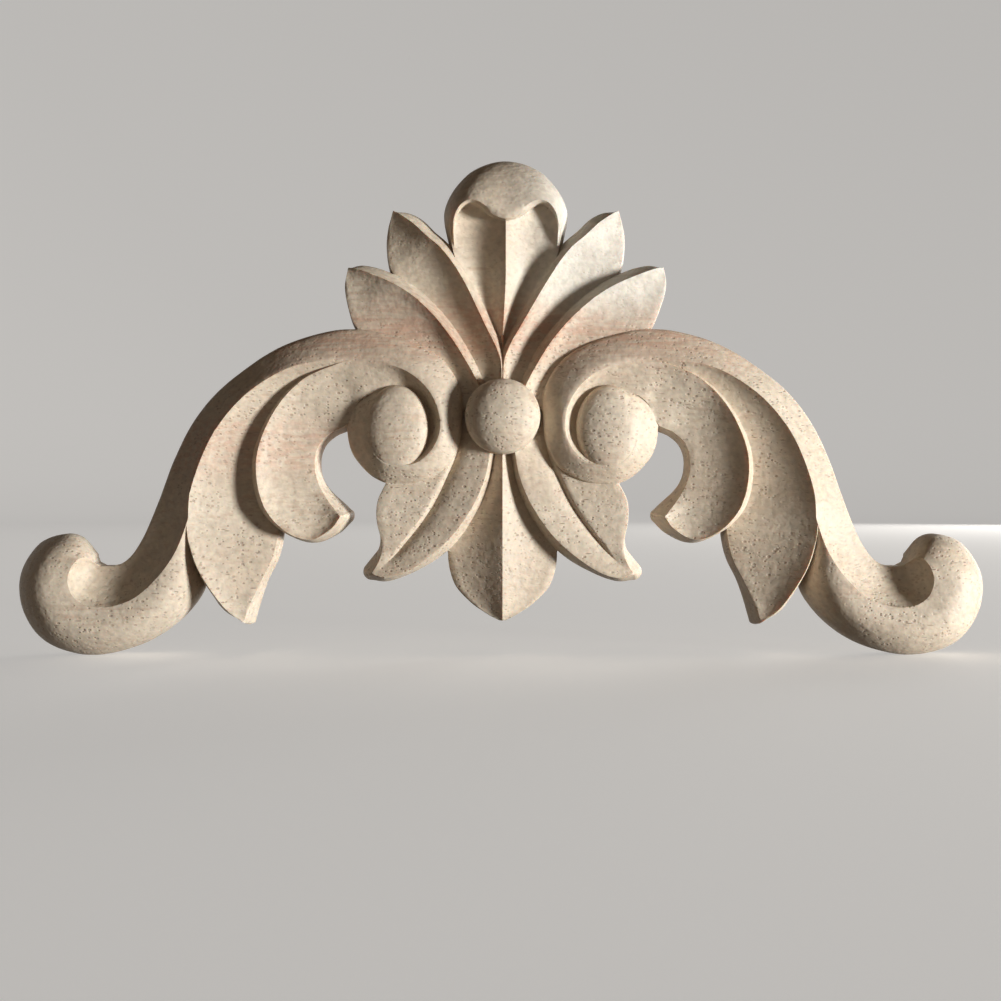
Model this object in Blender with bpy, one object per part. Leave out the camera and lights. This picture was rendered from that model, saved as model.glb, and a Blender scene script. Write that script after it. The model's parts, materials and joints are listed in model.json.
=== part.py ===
"""A carved wooden corner onlay: an acanthus scroll spray, carved from one board.

The frame has +X to the right, +Z up and the carved face towards -Y. The flat back lies at
Y = 0, and the origin is on the back, behind the centre of the ball. A point of the carving is
written (x, z, height) in millimetres, where height is the distance in front of the back. The
points are those of the right half, and each ornament is built on both sides of the middle.

Each ornament is a strip: a closed body whose front runs between an edge rail on one side and
an edge rail on the other, as a gouge leaves it. Neighbouring strips share the rail of their
common crest, and a Boolean union makes one solid of them all.
"""

import math

import bmesh
import bpy
from mathutils import Vector

MM = 0.001

# The ball in the middle and the eye of each volute: rounded tops on drums
BALL_RADIUS = 4.55
BALL_DRUM = 6.5
BALL_TOP = 9.15
EYE_CENTRE = (12.9, -1.4)
EYE_HALF_SIZE = (3.95, 5.3)
EYE_DRUM = 4.6
EYE_TOP = 7.0
EYE_FLATNESS = 0.6

# Fineness of the mesh
STEPS = 2
ACROSS = 4
ROUND_SEGMENTS = 24
ROUND_RINGS = 12

# How far the bodies reach behind the back before it is planed flat, and the plane's blank
OVERRUN = 1.0
OVERRUN_STEP = 0.1
BLANK_WIDTH = 140.0
BLANK_HEIGHT = 90.0
BLANK_THICKNESS = 20.0
MERGE_DISTANCE = 0.00001

# How far the fullest part of a profile is moved off its middle
LEAF_SKEW = 0.7
STEM_SKEW = 0.8
ROLL_SKEW = 1.3
DOME_SKEW = 0.7
VEIN_SKEW = 1.8

# The steep wall under a leaf's lower edge: distance and height
EDGE_WALL = (0.3, 1.0)

# The steep wall that a strip has under a crest it shares, and how it closes up at the end
BURIED_WALL = (0.4, 2.8)
BURIED_WALL_END = [(0.2, 2.6), (0.1, 2.4), (0.05, 2.2)]

# Where the carving isn't quite even: the fan leans over and the left scroll reaches further.
# Each is a shift in x that grows between two distances from the ball.
FAN_LEAN = 0.4
FAN_LEAN_SPAN = (8.0, 18.0)
LEFT_REACH = -0.4
LEFT_REACH_SPAN = (34.0, 46.0)

# How much further the foot of a wall reaches ahead of a pointed tip than beside it
TIP_REACH = 1.1

# The line of crests: out of the coil round the eye, round the volute, over the arch and down
COIL = [
    (13.9, 3.2, 5.6), (15.2, 1.9, 6.2), (16.0, 0.3, 6.25), (16.3, -1.5, 6.2), (16.1, -3.3, 6.15),
    (15.3, -4.8, 6.15), (14.1, -5.7, 6.2),
]
CREST = [
    (12.6, -6.0, 6.2), (10.4, -5.6, 6.2), (8.6, -4.1, 6.4), (7.6, -1.8, 6.6), (7.8, 0.8, 6.8),
    (9.1, 3.3, 6.9), (11.4, 5.3, 6.9), (14.6, 6.4, 6.6), (18.3, 6.7, 6.4),
]
RIDGE = [
    (21.9, 6.6, 6.5), (25.5, 5.9, 6.6), (29.0, 4.1, 6.6), (32.1, 1.6, 6.6), (34.8, -1.8, 6.5),
    (36.6, -5.5, 6.4), (37.8, -9.4, 6.3), (38.2, -13.1, 6.1),
]
LIP = [
    (39.6, -16.7, 6.0), (41.8, -19.8, 5.9), (44.4, -22.1, 5.9), (47.2, -23.1, 5.9),
    (49.8, -23.0, 6.0), (51.6, -21.9, 6.0), (52.3, -20.0, 6.0), (52.0, -18.5, 5.8),
    (51.5, -17.6, 5.4), (51.0, -17.2, 4.8), (50.6, -17.2, 4.0), (50.3, -17.5, 3.0),
]

# The stem: its outer edge, paired with the line of crests
COIL_EDGE = [
    (15.4, 4.3, 4.4), (17.5, 2.9, 4.1), (18.8, 0.8, 3.9), (19.1, -1.6, 3.8), (18.6, -4.2, 3.8),
    (17.2, -6.2, 3.9), (15.5, -7.6, 4.0),
]
STEM_EDGE = [
    (13.7, -8.1, 4.2), (10.1, -7.9, 4.4), (7.0, -6.2, 4.6), (5.4, -3.4, 4.8), (4.9, 0.6, 5.0),
    (5.3, 3.9, 5.2), (7.7, 7.3, 5.2), (12.3, 9.6, 4.9), (18.1, 10.8, 4.5),
    (22.9, 10.2, 4.3), (27.6, 8.5, 4.1), (31.8, 5.8, 4.0), (35.3, 2.9, 3.9), (38.1, -0.8, 3.8),
    (40.2, -5.2, 3.7), (41.8, -9.5, 3.5), (43.7, -14.1, 3.2),
    (44.9, -16.2, 3.0), (45.9, -17.4, 2.9), (46.8, -18.0, 2.8), (47.5, -18.2, 2.8),
    (48.1, -18.3, 2.8), (48.6, -18.3, 2.8), (49.0, -18.3, 2.8), (49.3, -18.3, 2.8),
    (49.5, -18.2, 2.8), (49.7, -18.1, 2.8), (49.9, -18.0, 2.8), (50.1, -17.9, 2.8),
]
COIL_BOW = [0.0, 0.0, 0.0, 0.0, 0.0, 0.1, 0.1]
STEM_BOW = [
    0.1, 0.2, 0.2, 0.2, 0.2, 0.2, 0.3, 0.3, 0.3,
    0.2, 0.1, 0.0, -0.1, -0.1, -0.2, -0.3, -0.4,
    -0.6, -0.8, -0.9, -1.0, -1.1, -1.2, -1.2, -1.1, -0.8, -0.4, -0.1, 0.0,
]

# The channel round the eye, which opens out into the inner leaf
INNER_RIM = [
    (20.7, 6.1, 6.3), (23.8, 4.7, 6.2), (26.4, 2.4, 6.2), (28.5, -0.9, 6.2), (29.8, -4.7, 6.1),
    (29.7, -8.6, 6.0), (28.5, -11.8, 5.9), (26.1, -14.2, 5.6), (23.4, -15.0, 5.2),
    (21.0, -13.7, 4.9), (19.75, -12.15, 4.7),
]
INNER_EDGE = [
    (12.9, -5.0, 5.6), (11.7, -4.4, 5.4), (10.4, -3.3, 4.8), (9.6, -1.3, 4.3), (9.9, 0.9, 4.3),
    (11.0, 2.4, 4.6), (12.6, 3.1, 5.0), (14.9, 3.0, 5.2), (16.8, 2.4, 5.1),
    (18.1, 1.1, 4.4), (19.1, -0.9, 4.0), (20.9, -1.8, 3.7), (22.3, -3.0, 3.6), (23.0, -4.7, 3.5),
    (23.0, -6.6, 3.5), (22.6, -8.1, 3.5), (22.0, -9.3, 3.6), (21.3, -10.4, 3.9),
    (20.5, -11.4, 4.3), (19.75, -12.15, 4.7),
]
INNER_WALL = [
    (0.4, 3.0), (0.4, 3.0), (0.4, 3.0), (0.4, 3.0), (0.4, 3.0), (0.4, 3.0), (0.4, 3.0),
    (0.4, 3.0), (0.4, 3.0),
    (0.6, 3.0), (1.0, 2.6), (1.3, 2.3), (1.5, 2.2), (1.6, 2.1), (1.5, 2.0), (1.1, 2.0),
    (0.5, 2.0), (0.5, 1.8), (0.8, 1.4), (1.1, 1.0),
]
INNER_EDGE_WALL = [(0.3, 1.0)] * 15 + [(0.4, 1.0), (0.6, 1.0), (0.9, 1.0), (1.1, 1.0), (1.1, 1.0)]
INNER_BOW = [
    -0.1, -0.3, -0.5, -0.6, -0.6, -0.6, -0.5, -0.3, -0.2,
    -0.3, -0.4, -0.6, -0.7, -0.7, -0.7, -0.7, -0.6, -0.5, -0.3, 0.0,
]

# The outer leaf: its rim leaves the ridge, and its inner edge comes out from under the inner leaf
OUTER_RIM = [
    (37.9, -15.6, 6.0), (37.0, -18.4, 5.9), (35.5, -21.1, 5.6), (33.7, -23.5, 5.2),
    (31.6, -25.2, 4.6),
]
OUTER_EDGE = [
    (18.6, 5.9, 5.6), (21.1, 5.4, 5.4), (24.0, 4.1, 5.0), (26.4, 2.0, 4.7), (28.3, -1.2, 4.3),
    (29.4, -4.9, 3.9), (29.3, -8.4, 3.3), (28.4, -11.1, 2.7), (27.7, -13.6, 2.8),
    (27.9, -15.7, 2.9), (28.5, -17.7, 3.0), (29.6, -19.9, 3.3), (30.7, -22.4, 3.9),
    (31.6, -25.2, 4.6),
]
OUTER_WALL = [(0.8, 2.5)] * 13 + [(0.3, 1.2)]
OUTER_EDGE_WALL = [(0.3, 1.0)] * 12 + [(0.5, 1.0), (0.6, 1.0)]
OUTER_BOW = [
    0.0, 0.0, -0.2, -0.4, -0.5, -0.6, -0.6, -0.6, -0.6, -0.6, -0.6, -0.5, -0.3, 0.0,
]

# The roll below the stem, paired with the lip, and the bulb it ends in
ROLL_EDGE = [
    (37.7, -17.1, 1.5), (37.1, -20.7, 1.5), (39.3, -24.3, 2.6), (42.8, -27.2, 2.6),
    (46.9, -28.9, 2.6), (51.5, -29.3, 2.6), (56.2, -27.7, 2.6), (59.1, -24.1, 2.2),
    (59.6, -19.6, 2.0), (57.6, -15.8, 1.5), (54.6, -14.4, 1.5), (52.3, -14.8, 1.5),
    (50.4, -16.9, 1.5),
]
ROLL_BOW = [
    0.6, 1.0, 1.3, 1.5, 1.6, 1.7, 1.8, 1.9, 1.9, 1.7, 1.4, 1.0, 0.3,
]

# The petals of the fan, from root to tip
UPPER_PETAL_RIM = [
    (0.1, 3.8, 5.6), (0.2, 6.6, 5.6), (0.9, 8.7, 5.7), (2.3, 11.3, 5.8), (3.4, 13.4, 5.9),
    (4.8, 16.0, 5.9), (6.4, 18.6, 5.9), (8.0, 20.6, 5.8), (9.6, 22.0, 5.6), (11.2, 23.5, 5.3),
    (12.7, 24.6, 4.9), (13.8, 25.3, 4.4),
]
UPPER_PETAL_EDGE = [
    (1.7, 0.9, 4.3), (2.2, 2.7, 4.3), (2.9, 4.5, 4.3), (4.2, 7.0, 3.8), (5.6, 9.3, 3.7),
    (7.6, 12.2, 3.7), (9.8, 14.6, 3.6), (11.9, 16.4, 3.5), (13.9, 17.8, 3.4), (14.5, 20.3, 3.3),
    (14.5, 23.0, 3.3), (13.8, 25.3, 4.4),
]
LOWER_PETAL_RIM = [
    (2.4, 2.9, 5.9), (3.4, 4.9, 6.0), (4.6, 7.0, 6.1), (6.0, 9.2, 6.2), (7.9, 11.6, 6.2),
    (9.8, 13.5, 6.2), (11.8, 15.1, 6.1), (13.9, 16.3, 6.0), (16.0, 17.2, 5.7), (18.1, 18.0, 5.2),
    (19.3, 18.3, 4.5),
]
LOWER_PETAL_EDGE = [
    (5.1, 0.6, 4.5), (5.6, 2.7, 4.5), (6.6, 4.8, 4.5), (8.3, 6.6, 4.7), (10.5, 8.0, 4.7),
    (13.2, 8.8, 4.6), (15.9, 9.7, 4.5), (18.1, 11.1, 4.4), (19.2, 13.8, 4.3), (19.7, 16.1, 4.2),
    (19.3, 18.3, 4.5),
]
PETAL_WALL = [(1.3, 3.3)] * 10 + [(0.9, 3.0), (0.3, 1.6)]
PETAL_BOW = -0.6
PETAL_BOW_END = [-0.3, 0.0]

# The shell at the top: two flutes either side of an arris, under a domed lip
ARRIS = [
    (0.0, 27.0, 6.0), (0.0, 23.2, 6.2), (0.0, 19.3, 5.9), (0.0, 15.4, 5.5), (0.0, 11.8, 5.1),
    (0.0, 8.8, 4.7), (0.0, 6.0, 4.4),
]
FLUTE_EDGE = [
    (6.1, 27.0, 4.6), (6.8, 23.5, 5.0), (6.3, 19.7, 4.6), (4.4, 16.3, 4.4), (2.4, 12.4, 4.3),
    (1.0, 9.2, 4.2), (0.4, 6.0, 4.2),
]
FLUTE_BOW = [-0.4, -1.2, -1.3, -1.1, -0.8, -0.4, -0.1]
DOME_EDGE = [
    (0.0, 32.1, 1.6), (2.3, 31.7, 1.6), (4.5, 30.6, 1.6), (6.3, 28.7, 1.6), (7.4, 26.7, 1.6),
    (7.7, 24.6, 1.6), (6.8, 20.6, 2.6),
]
DOME_LIP = [
    (0.0, 23.7, 7.0), (1.7, 24.3, 7.0), (3.3, 25.5, 6.9), (4.5, 25.8, 6.7), (5.6, 25.1, 6.4),
    (6.3, 23.4, 5.8), (6.3, 20.6, 4.5),
]
DOME_BOW = [1.9, 1.9, 1.7, 1.5, 1.2, 0.8, 0.2]

# The side leaf below the volute: crest, vein and outer edge, from root to tip
SIDE_CREST = [
    (0.6, 2.0, 4.4), (0.9, -1.0, 4.8), (1.5, -4.3, 4.8), (2.1, -7.3, 4.8), (3.2, -10.1, 4.8),
    (4.7, -12.6, 4.8),
    (6.5, -14.9, 4.7), (9.0, -17.1, 4.6), (11.9, -19.0, 4.5), (14.3, -19.7, 4.3),
    (16.1, -19.2, 4.1),
]
SIDE_VEIN = [
    (5.0, 1.5, 3.5), (5.2, -2.8, 3.5), (6.0, -5.5, 3.5), (7.0, -7.7, 3.5), (8.1, -10.0, 3.5),
    (9.5, -12.3, 3.5),
    (11.0, -14.3, 3.5), (12.4, -16.0, 3.6), (13.8, -17.5, 3.9), (15.0, -18.5, 4.1),
    (16.1, -19.2, 4.1),
]
SIDE_EDGE = [
    (11.0, 1.0, 4.2), (11.9, -2.8, 4.2), (13.4, -5.5, 4.2), (14.3, -8.1, 4.2), (15.3, -10.3, 4.2),
    (15.4, -12.6, 4.2), (15.0, -14.6, 4.2), (14.9, -16.2, 4.2), (15.2, -17.5, 4.2),
    (15.6, -18.4, 4.1), (16.1, -19.2, 4.1),
]
VEIN_WALL = [(0.4, 4.1)] * 7 + [(0.35, 4.1), (0.1, 3.95), (0.1, 4.1), (0.0, 4.1)]
VEIN_BOW = [0.3] * 8 + [0.1, 0.0, 0.0]
SIDE_WALL = [(0.9, 2.2)] * 7 + [(0.8, 2.0), (0.5, 1.8), (0.6, 1.5), (1.0, 1.0)]
SIDE_EDGE_WALL = [(0.3, 1.0)] * 7 + [(0.6, 1.0), (1.1, 1.0), (1.3, 1.0), (1.4, 1.0)]

# The tail leaf in the middle below, from root to tip
TAIL_MIDRIB = [
    (0.0, -2.8, 4.3), (0.0, -6.4, 4.5), (0.0, -10.1, 4.6), (0.0, -13.2, 4.6), (0.0, -15.7, 4.6),
    (0.0, -17.8, 4.5), (0.0, -20.0, 4.3), (0.0, -21.8, 4.0), (0.0, -23.3, 3.5), (0.0, -24.4, 3.0),
    (0.0, -25.1, 2.4),
]
TAIL_EDGE = [
    (3.0, -2.7, 2.2), (3.7, -6.4, 2.2), (4.7, -10.1, 2.2), (5.9, -13.2, 2.2), (6.7, -15.7, 2.2),
    (6.8, -17.5, 2.2), (6.4, -19.5, 2.2), (5.6, -21.2, 2.2), (3.8, -23.0, 2.2), (1.9, -24.3, 2.2),
    (0.4, -25.1, 2.2),
]
TAIL_BOW = [-0.4] * 8 + [-0.3, -0.2, -0.1]

WOOD_COLOUR = (0.62, 0.50, 0.36, 1.0)
WOOD_ROUGHNESS = 0.6


def smooth(points, before=None, after=None):
    """Samples of one smooth curve through the points, STEPS to each span.

    before and after are points of a curve that this one carries on from or into.
    """
    knots = [Vector(point) for point in points]
    first = Vector(before) if before else knots[0] * 2 - knots[1]
    last = Vector(after) if after else knots[-1] * 2 - knots[-2]
    padded = [first, *knots, last]
    samples = []
    for a, b, c, d in zip(padded, padded[1:], padded[2:], padded[3:]):
        for step in range(STEPS):
            t = step / STEPS
            pull = (c - a) * t + (a * 2 - b * 5 + c * 4 - d) * t ** 2
            samples.append(b + (pull + (b * 3 - a - c * 3 + d) * t ** 3) * 0.5)
    samples.append(knots[-1])
    return samples


def along(values, spans):
    """A value, or a tuple of values, for each sample of a rail with that many spans."""
    if not isinstance(values, list):
        values = [values] * (spans + 1)
    rows = [value if isinstance(value, tuple) else (value, 0.0) for value in values]
    return smooth([(first, second, 0.0) for first, second in rows])


def beside(rail, partner, wall):
    """The foot of a wall that falls away from a rail, on the side away from its partner.

    wall gives the foot's distance from the rail and its height.
    """
    last = len(rail) - 1
    across = []
    for index in range(len(rail)):
        ahead = rail[min(index + 1, last)].xy - rail[max(index - 1, 0)].xy
        across.append(Vector((-ahead.y, ahead.x)).normalized())
    inward = sum(way.dot((end - start).xy) for way, start, end in zip(across, rail, partner))
    side = -1 if inward > 0 else 1
    return [Vector((*(start.xy + way * side * sample.x), sample.y))
            for start, way, sample in zip(rail, across, along(wall, last // STEPS))]


def walls(left, right, left_wall, right_wall):
    """The feet of both walls of a strip that ends in a point.

    Round the tip the feet go on for one more span, from beside it to straight ahead of it, and
    both rails get as many more samples, all at the tip.
    """
    feet = beside(left, right, left_wall), beside(right, left, right_wall)
    tip = left[-1]
    forward = (tip * 2 - left[-2] - right[-2]).xy
    reach = TIP_REACH * sum((foot[-1] - tip).xy.length for foot in feet) / len(feet)
    for foot in feet:
        start = (foot[-1] - tip).xy
        height = foot[-1].z
        heading = math.atan2(start.y, start.x)
        turn = math.atan2(start.x * forward.y - start.y * forward.x, start.dot(forward))
        for step in range(1, STEPS + 1):
            t = step / STEPS
            arm = start.length + (reach - start.length) * t
            foot.append(Vector((tip.x + arm * math.cos(heading + turn * t),
                                tip.y + arm * math.sin(heading + turn * t), height)))
    for rail in (left, right):
        rail.extend([tip] * STEPS)
    return feet


def buried_wall(rail):
    """A steep wall inside the neighbouring strip, which closes up towards the notch."""
    stations = (len(rail) - 1) // STEPS + 1
    return [BURIED_WALL] * (stations - len(BURIED_WALL_END)) + BURIED_WALL_END


def mirrored(points):
    """The same points on the other side of the middle."""
    return [(-x, z, height) for x, z, height in points]


def ramp(value, span):
    """0 below the span and 1 above it, with a smooth rise between."""
    t = min(max((value - span[0]) / (span[1] - span[0]), 0.0), 1.0)
    return t * t * (3 - 2 * t)


def place(x, z, height):
    """A point of the carving in the part's own frame, in metres."""
    x += FAN_LEAN * ramp(z, FAN_LEAN_SPAN) + LEFT_REACH * ramp(-x, LEFT_REACH_SPAN)
    return Vector((x * MM, -height * MM, z * MM))


def arch(s, skew):
    """A curve that is 0 at both ends and 1 at its top, which skew moves off the middle."""
    return 4 * s ** skew * (1 - s ** skew)


def new_object(name, mesh_maker, collection):
    """An object with a mesh of its own, filled by mesh_maker and with its faces pointing out."""
    bm = bmesh.new()
    mesh_maker(bm)
    bmesh.ops.remove_doubles(bm, verts=bm.verts, dist=MERGE_DISTANCE)
    bmesh.ops.dissolve_degenerate(bm, edges=bm.edges, dist=MERGE_DISTANCE)
    bmesh.ops.triangulate(bm, faces=bm.faces)
    bmesh.ops.recalc_face_normals(bm, faces=bm.faces)
    mesh = bpy.data.meshes.new(name)
    bm.to_mesh(mesh)
    bm.free()
    result = bpy.data.objects.new(name, mesh)
    collection.objects.link(result)
    return result


def strip(name, rails, panels, collection, sides=(1, -1)):
    """A closed body between rails, on each side of the middle.

    Each panel is (bow, skew, cells) from one rail to the next.
    """
    floor = -OVERRUN - OVERRUN_STEP * len(collection.objects)
    spans = (len(rails[0]) - 1) // STEPS
    bows = [along(bow, spans) for bow, skew, cells in panels]

    def ring(station):
        points = []
        for panel, (bow, skew, cells) in enumerate(panels):
            start = rails[panel][station]
            end = rails[panel + 1][station]
            for cell in range(cells):
                s = cell / cells
                lift = bows[panel][station].x * arch(s, skew)
                points.append(start.lerp(end, s) + Vector((0, 0, lift)))
        points.append(rails[-1][station])
        points.append(Vector((*rails[-1][station].xy, floor)))
        points.append(Vector((*rails[0][station].xy, floor)))
        return points

    for side in sides:
        def fill(bm):
            rings = [[bm.verts.new(place(side * x, z, height)) for x, z, height in ring(station)]
                     for station in range(len(rails[0]))]
            for near, far in zip(rings, rings[1:]):
                for index in range(len(near)):
                    bm.faces.new((near[index - 1], near[index], far[index], far[index - 1]))
            bm.faces.new(rings[0])
            bm.faces.new(rings[-1])

        new_object(f"{name}_{'right' if side > 0 else 'left'}", fill, collection)


def boss(name, centre, half_size, drum, top, flatness, collection):
    """A rounded top on an upright drum. A flatness of 1 makes it an ellipsoid's top."""
    def fill(bm):
        made = bmesh.ops.create_uvsphere(bm, u_segments=ROUND_SEGMENTS, v_segments=ROUND_RINGS,
                                         radius=1.0)
        for vert in made["verts"]:
            x, z, rise = vert.co
            height = drum + (top - drum) * max(rise, 0.0) ** flatness
            radius = math.hypot(x, z)
            if rise < -MERGE_DISTANCE:
                height = -OVERRUN
                if radius > MERGE_DISTANCE:
                    x /= radius
                    z /= radius
            vert.co = place(centre[0] + x * half_size[0], centre[1] + z * half_size[1], height)
    return new_object(name, fill, collection)


def leaf(name, rim, edge, rim_wall, edge_wall, bow, collection):
    """A scooped leaf or petal, from root to tip: steep under its rim and flatter at its edge."""
    rim_foot, edge_foot = walls(rim, edge, rim_wall, edge_wall)
    strip(name, [rim_foot, rim, edge, edge_foot],
          [(0.0, 1.0, 1), (bow + [0.0], LEAF_SKEW, ACROSS), (0.0, 1.0, 1)], collection)


def carve_scroll(collection):
    """The stem, the channel and inner leaf, the outer leaf and the roll, on shared crests."""
    line = smooth(COIL + CREST + RIDGE + LIP)
    groove_end = len(COIL) * STEPS
    fork = groove_end + (len(CREST) - 1) * STEPS
    second_fork = fork + len(RIDGE) * STEPS
    crest = line[groove_end:fork + 1]
    ridge = line[fork:second_fork + 1]
    lip = line[second_fork:]

    edge = smooth(COIL_EDGE + STEM_EDGE)
    strip("stem", [beside(line, edge, buried_wall(line)), line, edge],
          [(0.0, 1.0, 1), (COIL_BOW + STEM_BOW, STEM_SKEW, ACROSS)], collection)

    rim = crest + smooth([CREST[-1]] + INNER_RIM, before=CREST[-2])[1:]
    leaf("inner_leaf", rim, smooth(INNER_EDGE), INNER_WALL, INNER_EDGE_WALL, INNER_BOW, collection)
    rim = ridge + smooth([RIDGE[-1]] + OUTER_RIM, before=RIDGE[-2])[1:]
    leaf("outer_leaf", rim, smooth(OUTER_EDGE), OUTER_WALL, OUTER_EDGE_WALL, OUTER_BOW, collection)

    edge = smooth(ROLL_EDGE)
    strip("roll", [beside(lip, edge, buried_wall(lip)), lip, edge],
          [(0.0, 1.0, 1), (ROLL_BOW, ROLL_SKEW, ACROSS + 2)], collection)


def carve_fan(collection):
    """The shell at the top and the two petals beside it."""
    arris = smooth(ARRIS)
    flute = smooth(FLUTE_EDGE)
    far_flute = smooth(mirrored(FLUTE_EDGE))
    strip("shell_flutes", [far_flute, arris, flute],
          [(FLUTE_BOW, 1.0, ACROSS), (FLUTE_BOW, 1.0, ACROSS)], collection, sides=(1,))

    edge = smooth(mirrored(DOME_EDGE[:0:-1]) + DOME_EDGE)
    lip = smooth(mirrored(DOME_LIP[:0:-1]) + DOME_LIP)
    strip("shell_dome", [edge, lip], [(DOME_BOW[:0:-1] + DOME_BOW, DOME_SKEW, ACROSS + 1)],
          collection, sides=(1,))

    for name, rim_points, edge_points in (
            ("upper_petal", UPPER_PETAL_RIM, UPPER_PETAL_EDGE),
            ("lower_petal", LOWER_PETAL_RIM, LOWER_PETAL_EDGE)):
        bow = [PETAL_BOW] * (len(rim_points) - len(PETAL_BOW_END)) + PETAL_BOW_END
        wall = PETAL_WALL[-len(rim_points):]
        leaf(name, smooth(rim_points), smooth(edge_points), wall, EDGE_WALL, bow, collection)


def carve_lower_leaves(collection):
    """The side leaf with its vein, and the tail leaf."""
    crest = smooth(SIDE_CREST)
    vein = smooth(SIDE_VEIN)
    edge = smooth(SIDE_EDGE)
    step = beside(vein, crest, VEIN_WALL)
    step[-1] = vein[-1]
    crest_foot, edge_foot = walls(crest, edge, SIDE_WALL, SIDE_EDGE_WALL)
    for rail in (vein, step):
        rail.extend([crest[-1]] * STEPS)
    strip("side_leaf", [crest_foot, crest, vein, step, edge, edge_foot],
          [(0.0, 1.0, 1), (VEIN_BOW + [0.0], VEIN_SKEW, ACROSS), (0.0, 1.0, 1), (0.0, 1.0, 2),
           (0.0, 1.0, 1)],
          collection)

    midrib = smooth(TAIL_MIDRIB)
    edge = smooth(TAIL_EDGE)
    strip("tail_leaf", [smooth(mirrored(TAIL_EDGE)), midrib, edge],
          [(TAIL_BOW, 1.0, ACROSS), (TAIL_BOW, 1.0, ACROSS)], collection, sides=(1,))


def blank(collection):
    """The board the carving is cut from, whose back face planes the back flat."""
    def fill(bm):
        made = bmesh.ops.create_cube(bm, size=1.0)
        for vert in made["verts"]:
            vert.co.x *= BLANK_WIDTH * MM
            vert.co.y = (vert.co.y - 0.5) * BLANK_THICKNESS * MM
            vert.co.z *= BLANK_HEIGHT * MM
    return new_object("blank", fill, collection)


def wood():
    """Pale, close-grained hardwood, sanded and left bare."""
    material = bpy.data.materials.new("wood")
    material.use_nodes = True
    shader = material.node_tree.nodes["Principled BSDF"]
    shader.inputs["Base Color"].default_value = WOOD_COLOUR
    shader.inputs["Roughness"].default_value = WOOD_ROUGHNESS
    shader.inputs["Metallic"].default_value = 0.0
    return material


def as_cutter(guide):
    """Mark an object as a guide that shapes the part and isn't part of it."""
    guide.hide_render = True
    guide.display_type = "WIRE"


def boolean(target, operation, cutter):
    """A Boolean on the target. Every body here is closed, and many share an edge."""
    modifier = target.modifiers.new(cutter.name, "BOOLEAN")
    modifier.operation = operation
    modifier.solver = "MANIFOLD"
    modifier.object = cutter


def main():
    for old in list(bpy.data.objects):
        bpy.data.objects.remove(old)
    part = bpy.data.collections.new("corner_onlay")
    ornaments = bpy.data.collections.new("ornaments")
    cutters = bpy.data.collections.new("cutters")
    for collection in (part, ornaments, cutters):
        bpy.context.scene.collection.children.link(collection)

    onlay = boss("carved_onlay", (0.0, 0.0), (BALL_RADIUS, BALL_RADIUS), BALL_DRUM, BALL_TOP, 1.0,
                 part)
    for name, side in (("eye_right", 1), ("eye_left", -1)):
        boss(name, (side * EYE_CENTRE[0], EYE_CENTRE[1]), EYE_HALF_SIZE, EYE_DRUM, EYE_TOP,
             EYE_FLATNESS, ornaments)
    carve_scroll(ornaments)
    carve_fan(ornaments)
    carve_lower_leaves(ornaments)
    for ornament in ornaments.objects:
        as_cutter(ornament)
        boolean(onlay, "UNION", ornament)
    board = blank(cutters)
    as_cutter(board)
    boolean(onlay, "INTERSECT", board)
    onlay.data.materials.append(wood())


main()
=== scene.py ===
"""The looks of a carved wooden corner onlay.

The carving is built again as one fine mesh from the same rails as the solid, with its crests
eased and its surface left a little uneven, as a hand leaves it. The wood is pale and has fine
dark pores that run along X. The camera looks at the front, as in the photograph.
"""

import json
import math

import bmesh
import bpy
import numpy as np
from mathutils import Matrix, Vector, noise

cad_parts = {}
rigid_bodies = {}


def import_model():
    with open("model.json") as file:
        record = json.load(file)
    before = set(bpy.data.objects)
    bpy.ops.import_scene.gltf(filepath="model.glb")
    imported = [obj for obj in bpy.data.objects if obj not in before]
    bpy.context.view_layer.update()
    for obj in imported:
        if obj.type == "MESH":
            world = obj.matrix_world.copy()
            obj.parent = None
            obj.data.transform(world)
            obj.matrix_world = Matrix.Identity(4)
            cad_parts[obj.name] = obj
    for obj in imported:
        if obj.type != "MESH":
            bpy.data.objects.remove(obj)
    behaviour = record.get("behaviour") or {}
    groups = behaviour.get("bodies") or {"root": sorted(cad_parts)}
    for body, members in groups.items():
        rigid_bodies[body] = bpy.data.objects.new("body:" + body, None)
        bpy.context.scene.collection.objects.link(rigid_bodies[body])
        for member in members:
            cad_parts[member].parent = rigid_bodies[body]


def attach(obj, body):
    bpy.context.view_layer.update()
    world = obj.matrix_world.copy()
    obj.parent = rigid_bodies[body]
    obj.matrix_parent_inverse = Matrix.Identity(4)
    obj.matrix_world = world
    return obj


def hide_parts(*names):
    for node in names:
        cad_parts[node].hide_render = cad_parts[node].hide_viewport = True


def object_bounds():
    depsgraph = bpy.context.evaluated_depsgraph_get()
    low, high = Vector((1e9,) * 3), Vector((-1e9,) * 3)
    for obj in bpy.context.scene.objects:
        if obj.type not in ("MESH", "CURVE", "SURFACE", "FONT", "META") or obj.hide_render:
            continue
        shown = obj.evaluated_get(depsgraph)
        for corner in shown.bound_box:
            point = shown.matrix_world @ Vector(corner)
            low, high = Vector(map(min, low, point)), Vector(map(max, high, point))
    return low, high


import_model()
cad_low, cad_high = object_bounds()

MM = 0.001


# The ball in the middle and the eye of each volute: rounded tops on drums
BALL_RADIUS = 4.55
BALL_DRUM = 6.5
BALL_TOP = 9.15
BALL_FLATNESS = 1.0
EYE_CENTRE = (12.9, -1.4)
EYE_HALF_SIZE = (3.95, 5.3)
EYE_DRUM = 4.6
EYE_TOP = 7.0
EYE_FLATNESS = 0.6

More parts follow.
